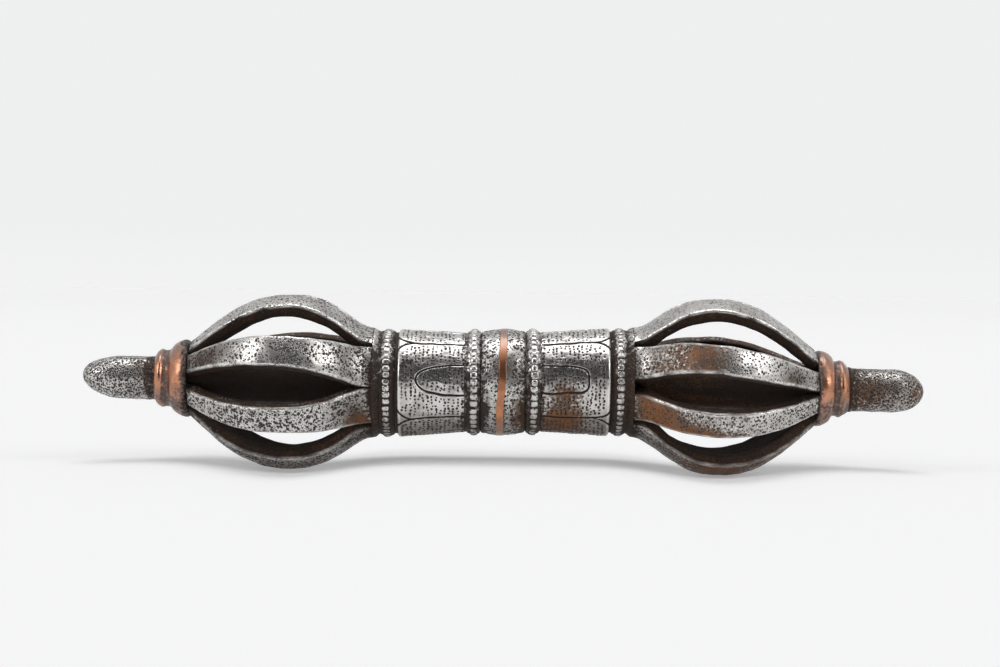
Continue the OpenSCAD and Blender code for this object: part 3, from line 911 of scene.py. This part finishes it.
class VAJRA_OT_lotus_sleeves(Operator):
    """Turns the lotus sleeves and engraves their petals"""

    bl_idname = "vajra.lotus_sleeves"
    bl_label = "Lotus sleeves"

    def engraving(self, shape, along, across, span, petal_length, petal_width, power):
        """Distance to the petal's outline, a rounded box half a petal pitch to each side, and to the inner
        petal, a curve where (along / length)^p + (across / half width)^p is 1: its excess over 1 by its
        steepness."""
        corner, tiny = shape.petal_corner, 1e-6
        box_u = along - (span + shape.petal_overhang - corner)
        box_v = np.abs(across) - (GRIP_R * math.pi / shape.petals - corner)
        outside = np.hypot(np.maximum(box_u, 0.0), np.maximum(box_v, 0.0))
        outer = outside + np.minimum(np.maximum(box_u, box_v), 0.0)
        half = petal_width / 2
        u, v = np.maximum(along, tiny) / petal_length, np.maximum(np.abs(across), tiny) / half
        level = (u**power + v**power) ** (1.0 / power)
        slope = np.hypot(u ** (power - 1.0) / petal_length, v ** (power - 1.0) / half)
        return np.abs(outer - corner), np.abs((level - 1.0) / (level ** (1.0 - power) * slope))

    def dashes(self, along, across, seed):
        """Short punched strokes across the rod, in columns: an oval dent in most cells of an uneven grid."""
        column_pitch, stroke_pitch, columns, strokes = 0.90 * MM, 0.74 * MM, 64, 128
        table = np.random.default_rng(seed).uniform(0.0, 1.0, (5, columns, strokes))
        column = np.floor(along / column_pitch).astype(int) % columns
        slide = table[0, column, 0] * stroke_pitch
        stroke = np.floor((across + slide) / stroke_pitch).astype(int) % strokes
        chance, shift, lift, size, broad = (table[i, column, stroke] for i in range(5))
        u = (along / column_pitch) % 1.0 - 0.5 - 0.40 * (shift - 0.5)
        v = ((across + slide) / stroke_pitch) % 1.0 - 0.5 - 0.20 * (lift - 0.5)
        oval = 1.0 - (u / (0.21 + 0.13 * broad)) ** 2 - (v / (0.30 + 0.40 * size**1.6)) ** 2
        return smooth(oval, -0.15, 0.55) * (chance < 0.86)

    def sleeve(self, shape, name, side, seed):
        """One sleeve: a cone with a rounded outer edge, lowered along the engraved lines and the dashes. A
        narrow step fills what is left up to the hoop."""
        step_length, *inner_petal, power = SLEEVES[name]
        span, edge = SLEEVE_END - RING_END - step_length * MM, 0.55 * MM
        along = np.concatenate([[0.0, 0.06 * MM], np.linspace(0.15 * MM, span - edge, 118),
                                span - edge * np.array([0.75, 0.5, 0.3, 0.14, 0.04, 0.0])])
        over = np.clip(along - (span - edge), 0.0, edge)
        cone = shape.sleeve_radius - shape.sleeve_drop * (1.0 - along / (span - edge)).clip(0.0, 1.0)
        r = (cone - (edge - np.sqrt(edge**2 - over**2)))[:, None]
        r[0] -= 0.2 * MM
        turn = around(columns=704)
        sector = TURN / shape.petals
        swing = (turn - (math.pi / 2 - shape.petal_turn) + sector / 2) % sector - sector / 2
        place = along[:, None]
        to_end = span - place
        x = side * (RING_END + place)
        true = turned(x, r, turn)
        waver = 0.09 * MM * ripple(true, 6.0 * MM, seed)
        inner_petal = (size * MM for size in inner_petal)
        across = swing * GRIP_R + waver
        near = np.minimum(*self.engraving(shape, place + waver, across, span, *inner_petal, power))
        line = shape.line_width
        groove, inked = fall(near, 0.08 * line, 0.66 * line), fall(near, 0.36 * line, 0.58 * line)
        margin = smooth(near, 0.55 * MM, 0.8 * MM) * smooth(to_end, 0.7 * MM, 1.1 * MM)
        stroke = self.dashes(place + 0.6 * waver, turn * GRIP_R + waver, seed + 1) * margin
        dents = ripple(true, 5.0 * MM, seed + 2) + 0.5 * ripple(true, 1.6 * MM, seed + 3)
        r = r - shape.line_depth * groove - 0.05 * MM * stroke + 0.5 * shape.hand_work * (dents - 0.5)
        bore, step = (np.full((1, turn.size), radius) for radius in (BORE_R, shape.hoop_radius))
        end = np.full((1, 1), side * SLEEVE_END)
        stations = np.concatenate([x[:1], x, x[-1:], end, end])
        points = turned(stations, np.concatenate([bore, r, step, step, bore]), turn)
        foot = fall(place + 0.30 * MM * ripple(true, 1.5 * MM, seed + 4), -0.2 * MM, 1.0 * MM)
        rim = np.broadcast_to(fall(to_end, 0.06 * MM, 0.16 * MM), stroke.shape)
        dark = np.maximum.reduce([inked, 0.95 * stroke, 0.62 * foot, 0.8 * rim])
        # The bright rubbed band at the outer edge is partly wear and partly a painted highlight
        worn = 0.7 * smooth(to_end, 0.12 * MM, 0.25 * MM) * fall(to_end, 0.5 * MM, 0.8 * MM) * (1.0 - inked)
        # Crust and tarnish grow towards the bottom: painted shade with some dirt
        crust = dark + 0.10 * underside_dirt_and_shade(turn) + spots_at(true, DARK_PATCHES)
        marks = {
            "grime_and_shade": bordered(crust, 1, 3, 1.0),
            "rust": spots_at(points, RUST_STAINS),
            "wear": bordered(worn, 1, 3, 0.0),
            "pits": 0.23 + 0.10 * ripple(points, 6.0 * MM, seed + 5),
            "tarnish_and_painted_light": 0.03 + 0.80 * underside_dirt_and_shade(turn) + spots_at(points, TARNISH),
        }
        make_piece(name + "_lotus_sleeve", points, marks, "chased_iron")

    def execute(self, context):
        for number, (name, side) in enumerate(SIDES):
            self.sleeve(context.scene.vajra_shape, name, side, 71 + 10 * number)
        return {"FINISHED"}


class VAJRA_OT_prongs(Operator):
    """Forges the sixteen bowed prongs of the two cages"""

    bl_idname = "vajra.prongs"
    bl_label = "Prongs"

    # How far a bow's curves lie level before and after its crest, and run straight into the throat
    shoulder, reach, throat_run = 10.3 * MM, 9.5 * MM, 8.0 * MM

    def bow(self, root, flare, crest, throat, fall_in, drawn_in):
        """A face from its root to its throat: two cubic curves that meet level at the belly's crest."""
        shoulder, reach = (size - drawn_in for size in (self.shoulder, self.reach))
        crest = np.array(crest)
        return np.concatenate([
            cubic(64, root, root + flare, crest - (shoulder, 0.0), crest),
            cubic(84, crest, crest + (reach, 0.0), throat + fall_in, throat)[1:],
        ])

    def faces(self, shape, crest_r):
        """Stations and radii of the outer and inner face, row by row: neck, flare, belly, throat, tenon."""
        crest_x = HOOP_END + shape.cage_peak
        fall_in = self.throat_run * np.array([-math.cos(shape.throat_angle), math.sin(shape.throat_angle)])
        bore, neck, tenon = ROD_R + 0.06 * MM, shape.hoop_bore - 0.05 * MM, 6.5 * MM
        root, throat = np.array([NECK_END, shape.root_radius]), np.array([CAGE_END, shape.throat_radius])
        outer = self.bow(root, (4.7 * MM, 0.0), (crest_x, crest_r), throat, fall_in, 0.0)
        outer[:, 1] -= 0.06 * MM * fall(outer[:, 0], NECK_END, NECK_END + 0.4 * MM)
        foot, end = np.array([HOOP_END + 1.6 * MM, bore]), np.array([CAGE_END, bore])
        belly = (crest_x + 0.5 * MM, crest_r - shape.prong_thickness)
        inner = self.bow(foot, (0.0, 5.2 * MM), belly, end, fall_in, shape.prong_thickness / 2)

        def with_ends(face, hidden_root, hidden_tip):
            before = [(SLEEVE_END, hidden_root), (NECK_END, hidden_root)]
            return np.concatenate([before, face, [(CAGE_END, hidden_tip), (TENON_END, hidden_tip)]])

        return with_ends(outer, neck, tenon), with_ends(inner, bore, bore)

    def half_width(self, shape, x, slot, belly_width, root_width):
        """Half a prong's width by station: wide at the root, waisted at the belly, narrow at the collar."""
        crest_x = HOOP_END + shape.cage_peak
        root, belly, tip = root_width / 2, belly_width / 2, shape.prong_tip_width / 2
        shoulder = (slot + 4.0 * MM, root - (root - belly) / 4)
        taper = (CAGE_END - self.throat_run, (tip + belly) / 2)
        crest = (crest_x, belly)
        outline = np.concatenate([
            [(SLEEVE_END - MM, root)],
            cubic(24, (slot, root), shoulder, (crest_x - self.shoulder / 2, belly), crest),
            cubic(24, crest, (crest_x + self.reach, belly), taper, (CAGE_END, tip))[1:],
            [(TENON_END + MM, tip)],
        ])
        return np.interp(x, outline[:, 0], outline[:, 1])

    def section(self):
        """A prong's section as shares of its half width and thickness, plus shares of its edge radius.

        Columns of the result: half widths, edge radii sideways, thicknesses, edge radii inwards, and how
        much the place belongs to the outer face, the flanks and the rubbed edges. It runs once round."""
        t = np.linspace(0.0, 1.0, 6)[1:-1] * math.pi / 2
        flat = np.linspace(-1.0, 1.0, 21)
        depth = np.linspace(0.0, 1.0, 9)
        at_corner = np.where(depth < 0.01, 0.6, 0.0)
        back = np.linspace(1.0, -1.0, 9)

        def stretch(*columns):
            return np.stack(np.broadcast_arrays(*columns), -1)

        outer = stretch(flat, -flat, 0.0, 0.0, 1.0, 0.0, np.abs(flat) ** 24)
        half = np.concatenate([
            stretch(1.0, np.sin(t) - 1.0, 0.0, 1.0 - np.cos(t), np.cos(t) ** 0.5, np.sin(t) ** 4, 1.0),
            stretch(1.0, 0.0, depth, 1.0 - 2.0 * depth, 0.0, 1.0 - depth**6, at_corner),
            stretch(1.0, np.cos(t) - 1.0, 1.0, np.sin(t) - 1.0, 0.0, 0.0, 0.0),
        ])
        inner = stretch(back, -back, 1.0, 0.0, 0.0, 0.0, 0.0)
        return np.concatenate([outer, half, inner, half[::-1] * (-1.0, -1.0, 1.0, 1.0, 1.0, 1.0, 1.0)])

    def prong(self, shape, name, side, number):
        """One prong: its section carried along both faces, bent about the rod by each station's twist."""
        seed = 100 + 10 * number + (0 if side < 0.0 else 5)
        belly_width, root_width, pitted, twists = PRONG_WORK[name][number - 1]
        outer, inner = self.faces(shape, getattr(shape, name + "_cage_radius"))
        wide, edge_wide, deep, edge_deep, on_face, on_flank, on_edge = self.section().T
        run = inner - outer
        thick = np.linalg.norm(run, axis=1, keepdims=True)
        free = ((outer[:, :1] > NECK_END) & (outer[:, 1:] > shape.throat_radius - 0.01 * MM)).astype(float)
        past_root = smooth(outer[:, :1], NECK_END + 0.2 * MM, NECK_END + 4.0 * MM)
        edge = shape.prong_edge * free * (0.25 + 0.75 * past_root) + 0.05 * MM
        share = np.clip(deep + edge_deep * edge / thick, 0.0, 1.0)
        x = outer[:, :1] + run[:, :1] * share
        r = outer[:, 1:] + run[:, 1:] * share
        slot = HOOP_END + SLOT_STARTS[name] * MM
        half = self.half_width(shape, x, slot, belly_width * MM, root_width * MM)
        across = wide * np.minimum(half, r * math.sin(PRONG_PITCH / 2) - 0.03 * MM) + edge_wide * edge
        rough = np.stack([x, across, r], -1)
        strays = free * past_root * 0.9 * shape.hand_work
        across = across + strays * ripple(rough, 5.0 * MM, seed + 1)
        r = r + strays * (ripple(rough, 9.0 * MM, seed + 2) + 0.5 * ripple(rough, 3.5 * MM, seed + 3))
        crest_x = HOOP_END + shape.cage_peak
        stations = np.array([HOOP_END, crest_x, (crest_x + CAGE_END) / 2, CAGE_END])
        twist = np.radians(eased(x, stations, twists, BEND_EASE))
        turn = (number - 0.5) * PRONG_PITCH + twist + np.arcsin(np.clip(-across / r, -1.0, 1.0))
        points = turned(side * x, r, turn)
        patchy = ripple(points, 4.0 * MM, seed + 4)
        # Roots darken where they meet the hoop, more below and not on top: dirt in the joint with painted
        # shade
        by_root = fall(x, NECK_END + 0.1 * MM, NECK_END + 3.4 * MM)
        rough_root = (0.36 + 0.16 * facing_down(turn, -0.3, 0.3)) * by_root
        root_joint_shade = 0.34 * (1.0 - facing_up(turn, 0.3, 0.8)) * fall(x, NECK_END, NECK_END + 1.4 * MM)
        near_tip = smooth(x, CAGE_END - 2.0 * MM, CAGE_END - 0.2 * MM)
        past_flare = smooth(x, HOOP_END + MM, HOOP_END + 9.0 * MM)
        unrubbed = 1.0 - past_flare * fall(x, CAGE_END - 10.0 * MM, CAGE_END - 1.5 * MM)
        # Faces turned towards the floor get grime and tarnish as painted shade
        shade_below, hidden = facing_down(turn, 0.68, 0.90), facing_down(turn, 0.40, 0.80)
        face, flank = on_face * free, on_flank * free
        # The flanks of the back prongs and of one front prong are rusty, and the others black
        rusty = number > 4 or (side < 0.0 and number == 3)
        brown, black = (0.85, 0.62) if rusty else (0.60, 0.95)
        stains = spots_at(points, RUST_STAINS)
        thin_stains = np.minimum(stains, 1.0)
        dark = spots_at(points, DARK_PATCHES) * face
        dirt_and_joint_shade = np.maximum.reduce([
            (1.0 + 0.10 * patchy) * (rough_root + root_joint_shade),
            (0.50 + 0.12 * patchy) * near_tip,
            (0.13 + 0.10 * patchy) * unrubbed,
        ])
        # The inner faces and hidden ends are fully crusted: soot with painted shade inside the cage
        shade = 1.0 - np.maximum(face, flank) + flank * (black + 0.08 * patchy)
        shade = shade + face * (1.0 - 0.7 * thin_stains) * dirt_and_joint_shade
        pits = pitted + 0.05 * ripple(points, 7.0 * MM, seed + 5) + 0.08 * unrubbed
        # Rubbed edges are partly real wear and partly a painted highlight
        rubbed = on_edge * free * past_root * (1.0 - 0.8 * near_tip) * (0.62 + 0.25 * patchy)
        marks = {
            "grime_and_shade": shade + dark + 0.14 * face * shade_below,
            "tarnish_and_painted_light": face * (spots_at(points, TARNISH) + 0.55 * shade_below + 0.15 * unrubbed),
            "rust": stains * np.maximum(face, 0.25) + flank * (brown + 0.15 * patchy),
            "wear": rubbed * (1.0 - 0.45 * hidden),
            "pits": pits * (1.0 - 0.30 * thin_stains - 0.4 * dark),
        }
        make_piece(f"{name}_prong_{number}", points, marks, "forged_iron", closed_rows=False, sharp=50.0)

    def execute(self, context):
        for name, side in SIDES:
            for number in PRONGS:
                self.prong(context.scene.vajra_shape, name, side, number)
        return {"FINISHED"}


class VAJRA_OT_tip_collars(Operator):
    """Rolls the two copper collars that bind the prong tips"""

    bl_idname = "vajra.tip_collars"
    bl_label = "Tip collars"

    def collar(self, shape, name, side, seed):
        """One collar: its outline of rim, large roll, groove and small roll, turned about the rod."""
        form = COLLARS[name]
        socket, bore = 6.55 * MM, ROD_R + 0.01 * MM
        shell = rounded(np.array(form.outline) * MM, 96, 0.5 * MM)
        end = shell[-1, 0]
        inside = [(end, bore), (TENON_END, bore), (TENON_END, socket), (CAGE_END, socket)]
        outline = np.concatenate([shell, inside])
        x, r = outline[:, :1], outline[:, 1:]
        turn = around(columns=240)
        true = turned(side * x, r, turn)
        shown = bordered(smooth(shell[:, :1], CAGE_END, CAGE_END + 0.3 * MM), 0, len(inside), 0.0)
        held = shown * fall(x, end - 0.8 * MM, end)
        wander = held * 0.12 * MM * ripple(true * (0.0, 1.0, 1.0), 16.0 * MM, seed)
        dents = ripple(true, 7.0 * MM, seed + 1) + 0.35 * ripple(true, 2.6 * MM, seed + 2)
        points = turned(side * (x + wander), r + held * 0.9 * shape.hand_work * (dents - 0.6), turn)
        ragged = x + 0.12 * MM * ripple(true, 3.5 * MM, seed + 3)
        start, stop = (station * MM for station in form.groove)
        past_start = smooth(ragged, start - 0.3 * MM, start + 0.3 * MM)
        groove = past_start * fall(ragged, stop - 0.3 * MM, stop + 0.25 * MM)
        rim = fall(ragged, form.rim_end * MM - 1.5 * MM, form.rim_end * MM + 0.4 * MM)
        black_end = CAGE_END + (form.black_reach + 1.3 * np.cos(turn) ** 2) * MM
        black = form.black_depth * fall(ragged, black_end - 0.3 * MM, black_end + 0.3 * MM)
        # The lower half gets more grime, brown and film as painted shade with some dirt; the film on top is
        # a painted reflection
        below = facing_down(turn, -0.05, 0.70)
        dirt_and_lower_shade = 0.12 + form.dirt_and_lower_shade * below + 0.12 * ripple(true, 4.5 * MM, seed + 4)
        marks = {
            "grime_and_shade": np.maximum.reduce([0.66 * groove, 0.78 * rim, dirt_and_lower_shade]),
            "rust": 0.34 + 0.45 * below + 0.24 * ripple(true, 3.5 * MM, seed + 5),
            "pits": 0.34 + black,
            "tarnish_and_painted_light": 0.22 + 0.48 * below + 0.60 * facing_up(turn, 0.45, 0.85),
        }
        make_piece(name + "_tip_collar", points, marks, COPPER)

    def execute(self, context):
        for number, (name, side) in enumerate(SIDES):
            self.collar(context.scene.vajra_shape, name, side, 301 + 10 * number)
        return {"FINISHED"}


class VAJRA_OT_stage(Operator):
    """Sets the pale floor, the surroundings, the lights and the camera"""

    bl_idname = "vajra.stage"
    bl_label = "Stage"

    def floor(self, stage, cage_at):
        """A wide soft cloth under the object, whose material adds white for the camera and reflections.

        The cages press it down. Its rise beside them is one less a bell curve at each cage, times a
        flat-topped bell along the rod and a bell across it."""
        reach, near, press, along, across = 12.0, 0.25, 14.0 * MM, 95.0 * MM, 70.0 * MM
        ticks = np.concatenate([[-reach], np.linspace(-near, near, 161), [reach]])
        x, y = np.meshgrid(ticks, ticks, indexing="ij")
        beside = 1.0 - np.exp(-(((np.abs(x) - cage_at) / press) ** 2))
        rise = stage.cloth_rise * beside * np.exp(-((x / along) ** 4) - (y / across) ** 2)
        corner = np.arange(x.size).reshape(x.shape)
        quads = np.stack([corner[:-1, :-1], corner[1:, :-1], corner[1:, 1:], corner[:-1, 1:]], -1)
        mesh = bpy.data.meshes.new("floor")
        points = np.stack([x, y, FLOOR_Z + rise], -1)
        mesh.from_pydata(points.reshape(-1, 3).tolist(), [], quads.reshape(-1, 4).tolist())
        mesh.shade_smooth()
        material = bpy.data.materials.new("floor_paper")
        sketch = new_sketch(material)
        place = sketch.add("ShaderNodeTexCoord").outputs["Object"]
        away = sketch.vector("LENGTH", {0: place})["Value"]
        white = sketch.rise(away, 0.2, 4.0, stage.floor_glow, stage.floor_glow - stage.floor_fade)
        glow = sketch.add("ShaderNodeEmission", {"Strength": sketch.times(sketch.seen(), white)})
        paper = sketch.add("ShaderNodeBsdfDiffuse", {"Color": stage.floor})
        both = sketch.add("ShaderNodeAddShader", {0: paper.outputs[0], 1: glow.outputs[0]})
        sketch.add("ShaderNodeOutputMaterial", {"Surface": both.outputs[0]})
        mesh.materials.append(material)
        floor = bpy.data.objects.new("floor", mesh)
        bpy.context.scene.collection.objects.link(floor)

    def surroundings(self, stage):
        """Pale all round, but dim behind the camera up to the overhead cloth. Dull surfaces get a share."""
        world = bpy.data.worlds.new("studio")
        sketch = new_sketch(world)
        way = sketch.add("ShaderNodeTexCoord").outputs["Generated"]
        part = sketch.add("ShaderNodeSeparateXYZ", {0: way}).outputs
        up = part["Z"]
        flat = sketch.maths("SQRT", sketch.less(1.0, sketch.times(up, up)))
        facing = sketch.maths("DIVIDE", sketch.times(part["Y"], -1.0), sketch.most(flat, 0.01))
        dim = sketch.times(sketch.rise(facing, 0.64, 0.87), sketch.rise(up, 0.73, 0.95, 1.0, 0.0))
        pale = sketch.blend(sketch.rise(up, 0.0, 0.03), stage.horizon, stage.backdrop)
        pale = sketch.blend(sketch.rise(up, 0.22, 0.55), pale, stage.ceiling)
        strength = sketch.rise(sketch.seen(), 0.0, 1.0, stage.fill, 1.0)
        shown = sketch.blend(dim, pale, stage.room)
        sky = sketch.add("ShaderNodeBackground", {"Color": shown, "Strength": strength})
        sketch.add("ShaderNodeOutputWorld", {"Surface": sky.outputs[0]})
        bpy.context.scene.world = world

    def lamps(self, stage):
        """Far soft lamps that light the floor evenly: an overhead cloth, and a soft box at each side."""
        lamps = (
            ("overhead_cloth", stage.overhead, 42.0, (0.0, 0.03, 1.0)),
            ("left_soft_box", stage.side_light, 32.0, (-0.69, -0.48, 0.545)),
            ("right_soft_box", stage.side_light, 32.0, (0.69, -0.48, 0.545)),
        )
        for name, strength, width, towards in lamps:
            light = bpy.data.lights.new(name, "SUN")
            light.energy, light.angle = strength, math.radians(width)
            lamp = bpy.data.objects.new(name, light)
            lamp.rotation_euler = Vector(towards).to_track_quat("Z", "Y").to_euler()
            bpy.context.scene.collection.objects.link(lamp)

    def camera(self, stage):
        """Aims the camera so that the grip's middle lands on its pixel of the picture after the roll."""
        picture_width, picture_height = 1000.0, 667.0
        data = bpy.data.cameras.new("camera")
        data.lens, data.sensor_width = stage.lens, 36.0
        pixels = picture_width * stage.lens / data.sensor_width
        right, down = stage.grip_across - picture_width / 2, stage.grip_down - picture_height / 2
        cosine, sine = math.cos(stage.roll), math.sin(stage.roll)
        yaw = math.atan((right * cosine + down * sine) / pixels)
        pitch = math.atan((down * cosine - right * sine) / pixels)
        back = Vector((0.0, -math.cos(stage.elevation), math.sin(stage.elevation)))
        turn = Matrix.Rotation(yaw, 4, "Z") @ Matrix.Rotation(math.pi / 2 - stage.elevation + pitch, 4, "X")
        turn = turn @ Matrix.Rotation(stage.roll, 4, "Z")
        camera = bpy.data.objects.new("camera", data)
        camera.matrix_world = Matrix.Translation(back * stage.distance) @ turn
        bpy.context.scene.collection.objects.link(camera)
        bpy.context.scene.camera = camera

    def execute(self, context):
        stage = context.scene.vajra_stage
        self.floor(stage, HOOP_END + context.scene.vajra_shape.cage_peak)
        self.surroundings(stage)
        self.lamps(stage)
        self.camera(stage)
        context.scene.view_settings.view_transform = "Standard"
        return {"FINISHED"}


OPERATORS = (
    VAJRA_OT_core_rod,
    VAJRA_OT_barrel,
    VAJRA_OT_copper_band,
    VAJRA_OT_bead_rings,
    VAJRA_OT_lotus_sleeves,
    VAJRA_OT_prongs,
    VAJRA_OT_tip_collars,
    VAJRA_OT_stage,
)
GROUPS = {"vajra_shape": VajraShape, "vajra_finish": VajraFinish, "vajra_stage": VajraStage}


class VAJRA_PT_build(Panel):
    """Lists the steps that build the vajra"""

    bl_idname = "VAJRA_PT_build"
    bl_label = "Dorje vajra"
    bl_space_type = "VIEW_3D"
    bl_region_type = "UI"
    bl_category = "Vajra"

    def draw(self, context):
        for operator in OPERATORS:
            self.layout.operator(operator.bl_idname)


CLASSES = (*GROUPS.values(), *OPERATORS, VAJRA_PT_build)


def register():
    """Registers the classes and hangs their settings on the scene."""
    for kind in CLASSES:
        bpy.utils.register_class(kind)
    for name, group in GROUPS.items():
        setattr(bpy.types.Scene, name, PointerProperty(type=group))


def unregister():
    """Takes the settings and the classes away again."""
    for name in GROUPS:
        delattr(bpy.types.Scene, name)
    for kind in reversed(CLASSES):
        bpy.utils.unregister_class(kind)


def main():
    """Builds every piece and the stage."""
    register()
    bpy.ops.vajra.core_rod()
    bpy.ops.vajra.barrel()
    bpy.ops.vajra.copper_band()
    bpy.ops.vajra.bead_rings()
    bpy.ops.vajra.lotus_sleeves()
    bpy.ops.vajra.prongs()
    bpy.ops.vajra.tip_collars()
    bpy.ops.vajra.stage()


if __name__ == "__main__":
    main()
